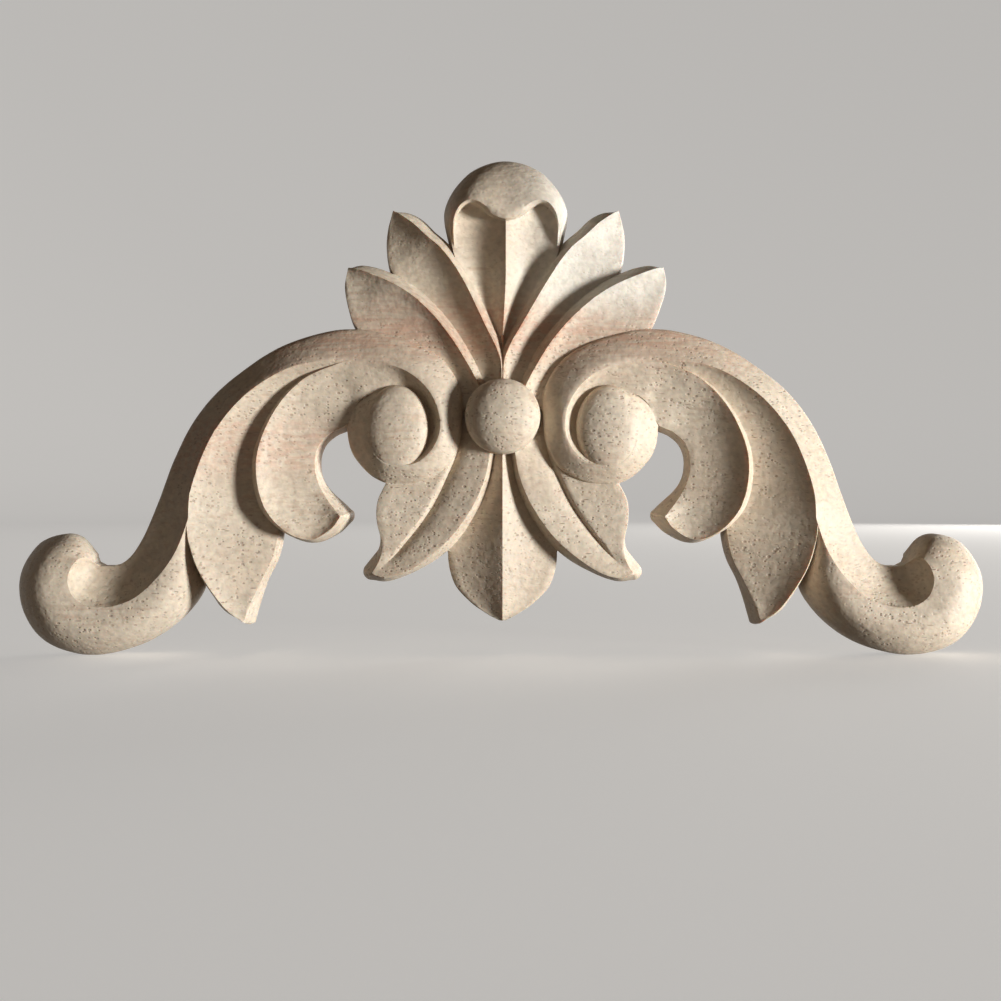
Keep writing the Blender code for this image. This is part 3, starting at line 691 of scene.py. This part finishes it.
# Noise in the wood. A stretch is in cells for each millimetre in x, y and z.
BROAD_GRAIN = {"stretch": (0.012, 0.10, 0.13), "detail": 3.0, "distortion": 0.3}
FINE_GRAIN = {"stretch": (0.16, 1.6, 2.0), "detail": 3.0, "roughness": 0.6}
LINED_PLACES = {"stretch": (0.06, 0.22, 0.22), "shift": (5.0, 2.0, 6.0), "detail": 1.0}
BAND_WANDER = {"stretch": (0.05, 0.2, 0.2), "detail": 1.0}
ROSY_LINES = {"stretch": (0.14, 2.2, 2.4), "shift": (7.0, 3.0, 1.0), "detail": 2.0}
MOTTLE = {"stretch": (1.2, 1.4, 1.4), "detail": 1.5}
DENSE_PLACES = {"stretch": (0.10, 0.14, 0.14), "shift": (2.0, 9.0, 4.0), "detail": 2.0}

# Ramps of that noise: where one starts and ends, and its values there if they aren't 0 and 1
PALE_RAMP = (0.35, 0.65)
STREAK_RAMP = (0.46, 0.70)
LINED_RAMP = (0.42, 0.62, 0.25, 0.75)
ROSY_RAMP = (0.40, 0.60, 0.25, 1.0)
MOTTLE_RAMP = (0.25, 0.75, 0.78, 1.22)
DENSE_RAMP = (0.38, 0.58, 0.3, 1.0)
ROUGHNESS_RAMP = (0.3, 0.8, 0.52, 0.66)

# Ramps over x or z, in mm: the rosy band, the rosy patch, the painted sheen in the upper right and
# the pores' end.
# The ones over z follow a level that wanders up by as much as BAND_RISE.
BAND_RISE = 6.0
BAND_FOOT = (8.0, 12.0)
BAND_TOP = (19.0, 14.0)
PATCH_FOOT = (-6.0, -2.0)
PATCH_TOP = (4.0, 1.0)
PATCH_SIDE = (-14.0, -22.0, 0.0, 0.7)
# The painted sheen: where it starts over z and over x, and how much of its colour is mixed in
SHEEN_FOOT = (13.0, 19.0)
SHEEN_SIDE = (-2.0, 9.0)
SHEEN_SHARE = 0.85
PORES_END = (16.0, 12.0, 0.3, 1.0)

# The pores: cells for each millimetre in x, y and z, the size of a pore in its cell, and a shift
PORE_CELLS = (
    ((1.1, 1.0, 1.8), 0.34, (0.0, 0.0, 0.0)),
    ((1.7, 1.3, 2.6), 0.34, (3.1, 1.7, 5.3)),
    ((0.34, 1.1, 2.1), 0.20, (8.3, 4.1, 2.2)),
)
PORE_CHOICE = (0.25, 0.8)
PORE_CORE = 0.35
PORE_DARKNESS = 0.68

# Painted shade in the crevices and a painted highlight on the rims: how far they are felt, in
# metres, and how open they are from start to end
OCCLUSION_SAMPLES = 8
CREVICE_SHADE_REACH = 0.0022
CREVICE_SHADE_RAMP = (0.75, 0.25, 0.0, 0.55)
RIM_HIGHLIGHT_REACH = 0.0007
RIM_HIGHLIGHT_RAMP = (0.45, 0.85, 0.0, 0.35)

# How the wood takes light. Then the bump: how deep a pore is beside the mottle's full height,
# and that height in metres.
SHADER_VALUES = {
    "Specular IOR Level": 0.45,
    "Subsurface Weight": 0.2,
    "Subsurface Radius": (1.0, 0.4, 0.2),
    "Subsurface Scale": 0.0010,
}
PORE_DEPTH = 0.7
BUMP_HEIGHT = 0.00008


class Graph:
    """Short names for making the nodes of a material."""

    def __init__(self, name):
        self.material = bpy.data.materials.new(name)
        self.material.use_nodes = True
        self.tree = self.material.node_tree
        self.shader = self.tree.nodes["Principled BSDF"]

    def link(self, source, target):
        self.tree.links.new(source, target)

    def feed(self, target, value):
        if isinstance(value, bpy.types.NodeSocket):
            self.link(value, target)
        else:
            target.default_value = value

    def add(self, kind, **settings):
        node = self.tree.nodes.new(kind)
        for key, value in settings.items():
            setattr(node, key, value)
        return node

    def math(self, operation, first, second):
        node = self.add("ShaderNodeMath", operation=operation)
        self.feed(node.inputs[0], first)
        self.feed(node.inputs[1], second)
        return node.outputs[0]

    def stretch(self, vector, scale, shift=(0.0, 0.0, 0.0)):
        node = self.add("ShaderNodeMapping")
        self.link(vector, node.inputs["Vector"])
        node.inputs["Scale"].default_value = scale
        node.inputs["Location"].default_value = shift
        return node.outputs[0]

    def noise(self, vector, stretch, detail, shift=(0.0, 0.0, 0.0), roughness=0.5, distortion=0.0):
        node = self.add("ShaderNodeTexNoise")
        self.link(self.stretch(vector, stretch, shift), node.inputs["Vector"])
        node.inputs["Scale"].default_value = 1.0
        node.inputs["Detail"].default_value = detail
        node.inputs["Roughness"].default_value = roughness
        node.inputs["Distortion"].default_value = distortion
        return node.outputs["Fac"]

    def cells(self, vector):
        node = self.add("ShaderNodeTexVoronoi")
        self.link(vector, node.inputs["Vector"])
        node.inputs["Scale"].default_value = 1.0
        return node.outputs["Distance"], node.outputs["Color"]

    def openness(self, reach, inside=False):
        node = self.add("ShaderNodeAmbientOcclusion", samples=OCCLUSION_SAMPLES, inside=inside)
        node.inputs["Distance"].default_value = reach
        return node.outputs["AO"]

    def ramp(self, value, low, high, to_low=0.0, to_high=1.0, smooth=True):
        node = self.add("ShaderNodeMapRange")
        node.interpolation_type = "SMOOTHSTEP" if smooth else "LINEAR"
        self.link(value, node.inputs["Value"])
        node.inputs["From Min"].default_value = low
        node.inputs["From Max"].default_value = high
        node.inputs["To Min"].default_value = to_low
        node.inputs["To Max"].default_value = to_high
        return node.outputs["Result"]

    def grey(self, value):
        node = self.add("ShaderNodeCombineColor")
        for socket in node.inputs:
            self.link(value, socket)
        return node.outputs[0]

    def mix(self, factor, first, second, blend="MIX"):
        node = self.add("ShaderNodeMix", data_type="RGBA", blend_type=blend)
        colours = [socket for socket in node.inputs if socket.type == "RGBA"]
        self.feed(node.inputs["Factor"], factor)
        self.feed(colours[0], first)
        self.feed(colours[1], second)
        return [socket for socket in node.outputs if socket.type == "RGBA"][0]


def pore_marks(graph, in_mm, level):
    """Long thin vessels along X, which show as dots where the surface crosses the grain."""
    pores = 0.0
    for stretch, size, shift in PORE_CELLS:
        distance, tint = graph.cells(graph.stretch(in_mm, stretch, shift))
        chosen = graph.add("ShaderNodeSeparateColor")
        graph.link(tint, chosen.inputs[0])
        depth = graph.ramp(chosen.outputs[0], *PORE_CHOICE)
        mark = graph.math("MULTIPLY", graph.ramp(distance, size, size * PORE_CORE), depth)
        pores = graph.math("MAXIMUM", pores, mark)

    # They are denser in some places than in others, and few near the top
    dense = graph.noise(in_mm, **DENSE_PLACES)
    pores = graph.math("MULTIPLY", pores, graph.ramp(dense, *DENSE_RAMP))
    return graph.math("MULTIPLY", pores, graph.ramp(level, *PORES_END))


def wood():
    """Pale, close-grained hardwood, sanded and bare. Its grain and its pores run along X."""
    graph = Graph("wood")
    place_node = graph.add("ShaderNodeTexCoord")
    in_mm = graph.stretch(place_node.outputs["Object"], (1 / MM, 1 / MM, 1 / MM))
    split = graph.add("ShaderNodeSeparateXYZ")
    graph.link(in_mm, split.inputs[0])
    wander = graph.noise(in_mm, **BAND_WANDER)
    level = graph.math("ADD", split.outputs["Z"], graph.math("MULTIPLY", wander, BAND_RISE))

    # Broad bands of paler and darker wood, and fine streaks along the grain
    colour = graph.mix(graph.ramp(graph.noise(in_mm, **BROAD_GRAIN), *PALE_RAMP), MID, PALE)
    streaks = graph.math("MULTIPLY",
                         graph.ramp(graph.noise(in_mm, **FINE_GRAIN), *STREAK_RAMP),
                         graph.ramp(graph.noise(in_mm, **LINED_PLACES), *LINED_RAMP))
    colour = graph.mix(streaks, colour, STREAK)

    # A rosier band across the board, and a rosier patch below it on the left
    band = graph.math("MULTIPLY", graph.ramp(level, *BAND_FOOT), graph.ramp(level, *BAND_TOP))
    patch = graph.math("MULTIPLY", graph.ramp(level, *PATCH_FOOT), graph.ramp(level, *PATCH_TOP))
    patch = graph.math("MULTIPLY", patch, graph.ramp(split.outputs["X"], *PATCH_SIDE))
    rosy = graph.math("MULTIPLY", graph.math("MAXIMUM", band, patch),
                      graph.ramp(graph.noise(in_mm, **ROSY_LINES), *ROSY_RAMP))
    colour = graph.mix(rosy, colour, ROSY)

    # Painted sheen: a paler, cooler colour in the upper right of the board, where the key light
    # glances off
    sheen = graph.math("MULTIPLY", graph.ramp(level, *SHEEN_FOOT),
                      graph.ramp(split.outputs["X"], *SHEEN_SIDE))
    colour = graph.mix(graph.math("MULTIPLY", sheen, SHEEN_SHARE), colour, PAINTED_SHEEN)

    # Fine mottling, then the pores
    mottle = graph.noise(in_mm, **MOTTLE)
    colour = graph.mix(1.0, colour, graph.grey(graph.ramp(mottle, *MOTTLE_RAMP, smooth=False)),
                       blend="MULTIPLY")
    pores = pore_marks(graph, in_mm, level)
    colour = graph.mix(graph.math("MULTIPLY", pores, PORE_DARKNESS), colour, PORE)

    # Painted shade: warm dark in the crevices. Painted highlight: paler rims
    colour = graph.mix(graph.ramp(graph.openness(CREVICE_SHADE_REACH), *CREVICE_SHADE_RAMP), colour, PAINTED_CREVICE_SHADE)
    colour = graph.mix(graph.ramp(graph.openness(RIM_HIGHLIGHT_REACH, inside=True), *RIM_HIGHLIGHT_RAMP), colour, PAINTED_RIM_HIGHLIGHT)

    graph.link(colour, graph.shader.inputs["Base Color"])
    graph.link(graph.ramp(mottle, *ROUGHNESS_RAMP), graph.shader.inputs["Roughness"])
    for name, value in SHADER_VALUES.items():
        graph.shader.inputs[name].default_value = value

    # Sunk pores and the fine unevenness of a sanded surface
    bump = graph.add("ShaderNodeBump")
    bump.inputs["Strength"].default_value = 1.0
    bump.inputs["Distance"].default_value = BUMP_HEIGHT
    sunk = graph.math("MULTIPLY", pores, PORE_DEPTH)
    graph.link(graph.math("SUBTRACT", mottle, sunk), bump.inputs["Height"])
    graph.link(bump.outputs[0], graph.shader.inputs["Normal"])
    return graph.material


# The camera: the photograph's size and the focal length, in pixels, its place in metres, its
# sensor in millimetres, and the nearest it sees, in metres
PHOTO_SIZE = 1001
FOCAL_PIXELS = 1272.0
CAMERA_PLACE = (-0.00025, -0.160, -0.0102)
SENSOR_WIDTH = 36.0
NEAREST = 0.01

# Lights: direction from the object, distance in metres, size in metres, power in watts, colour
LIGHTS = {
    "key": ((0.880, -0.468, -0.085), 0.60, 0.12, 5.7, (1.0, 0.985, 0.96)),
    "fill": ((0.15, -0.97, 0.10), 0.70, 0.60, 0.14, (1.0, 0.94, 0.88)),
    "back": ((0.60, 0.77, 0.20), 0.90, 0.50, 2.6, (1.0, 0.96, 0.91)),
}
WORLD_COLOUR = (1.0, 0.72, 0.50, 1.0)
WORLD_STRENGTH = 0.058

# The pale floor, which curves up far away on every side
FLOOR_RADIUS = 2.0
FLOOR_FLAT_SHARE = 0.5
FLOOR_RISE = 1.6
FLOOR_RINGS = 24
FLOOR_SEGMENTS = 96
FLOOR_COLOUR = (0.62, 0.62, 0.61, 1.0)
FLOOR_GLOW_COLOUR = (1.0, 0.99, 0.97, 1.0)
FLOOR_GLOW = 0.42
FLOOR_ROUGHNESS = 0.9
FLOOR_GLOSS = 0.1


def camera():
    """The photograph's view of the front."""
    lens = bpy.data.cameras.new("camera")
    lens.sensor_width = SENSOR_WIDTH
    lens.lens = lens.sensor_width * FOCAL_PIXELS / PHOTO_SIZE
    lens.clip_start = NEAREST
    result = bpy.data.objects.new("camera", lens)
    result.location = CAMERA_PLACE
    result.rotation_euler = (math.radians(90.0), 0.0, 0.0)
    bpy.context.scene.collection.objects.link(result)
    bpy.context.scene.camera = result


def lights():
    """A soft key light from the right, a weak fill, a light on the back and a dim warm surround."""
    for name, (direction, distance, size, power, colour) in LIGHTS.items():
        lamp = bpy.data.lights.new(name, "AREA")
        lamp.shape = "DISK"
        lamp.size = size
        lamp.energy = power
        lamp.color = colour
        result = bpy.data.objects.new(name, lamp)
        away = Vector(direction).normalized()
        result.location = away * distance
        result.rotation_euler = (-away).to_track_quat("-Z", "Y").to_euler()
        bpy.context.scene.collection.objects.link(result)
    world = bpy.data.worlds.new("surround")
    world.use_nodes = True
    background = world.node_tree.nodes["Background"]
    background.inputs["Color"].default_value = WORLD_COLOUR
    background.inputs["Strength"].default_value = WORLD_STRENGTH
    bpy.context.scene.world = world


def floor():
    """A pale floor that sweeps up into a backdrop all round.

    The key light shines from a little below its level, so the floor casts no shadow.
    """
    bm = bmesh.new()
    rings = []
    for ring in range(1, FLOOR_RINGS + 1):
        t = ring / FLOOR_RINGS
        radius = FLOOR_RADIUS * t
        climb = max(t - FLOOR_FLAT_SHARE, 0.0) / (1 - FLOOR_FLAT_SHARE)
        height = cad_low[2] + FLOOR_RISE * climb ** 2
        rings.append([bm.verts.new((radius * math.cos(turn), radius * math.sin(turn), height))
                      for turn in (2 * math.pi * step / FLOOR_SEGMENTS
                                   for step in range(FLOOR_SEGMENTS))])
    bm.faces.new(rings[0])
    for near, far in zip(rings, rings[1:]):
        for index in range(FLOOR_SEGMENTS):
            bm.faces.new((near[index - 1], near[index], far[index], far[index - 1]))
    bmesh.ops.recalc_face_normals(bm, faces=bm.faces)
    mesh = bpy.data.meshes.new("floor")
    bm.to_mesh(mesh)
    bm.free()
    for face in mesh.polygons:
        face.use_smooth = True
    material = bpy.data.materials.new("floor")
    material.use_nodes = True
    shader = material.node_tree.nodes["Principled BSDF"]
    shader.inputs["Base Color"].default_value = FLOOR_COLOUR
    shader.inputs["Roughness"].default_value = FLOOR_ROUGHNESS
    shader.inputs["Specular IOR Level"].default_value = FLOOR_GLOSS
    shader.inputs["Emission Color"].default_value = FLOOR_GLOW_COLOUR
    shader.inputs["Emission Strength"].default_value = FLOOR_GLOW
    mesh.materials.append(material)
    result = bpy.data.objects.new("floor", mesh)
    result.visible_diffuse = False
    result.visible_shadow = False
    bpy.context.scene.collection.objects.link(result)
    return result


camera()
lights()
floor()
onlay = carved_piece()
onlay.data.materials.clear()
onlay.data.materials.append(wood())
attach(onlay, "root")
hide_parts("carved_onlay")
bpy.context.scene.view_settings.view_transform = "Standard"
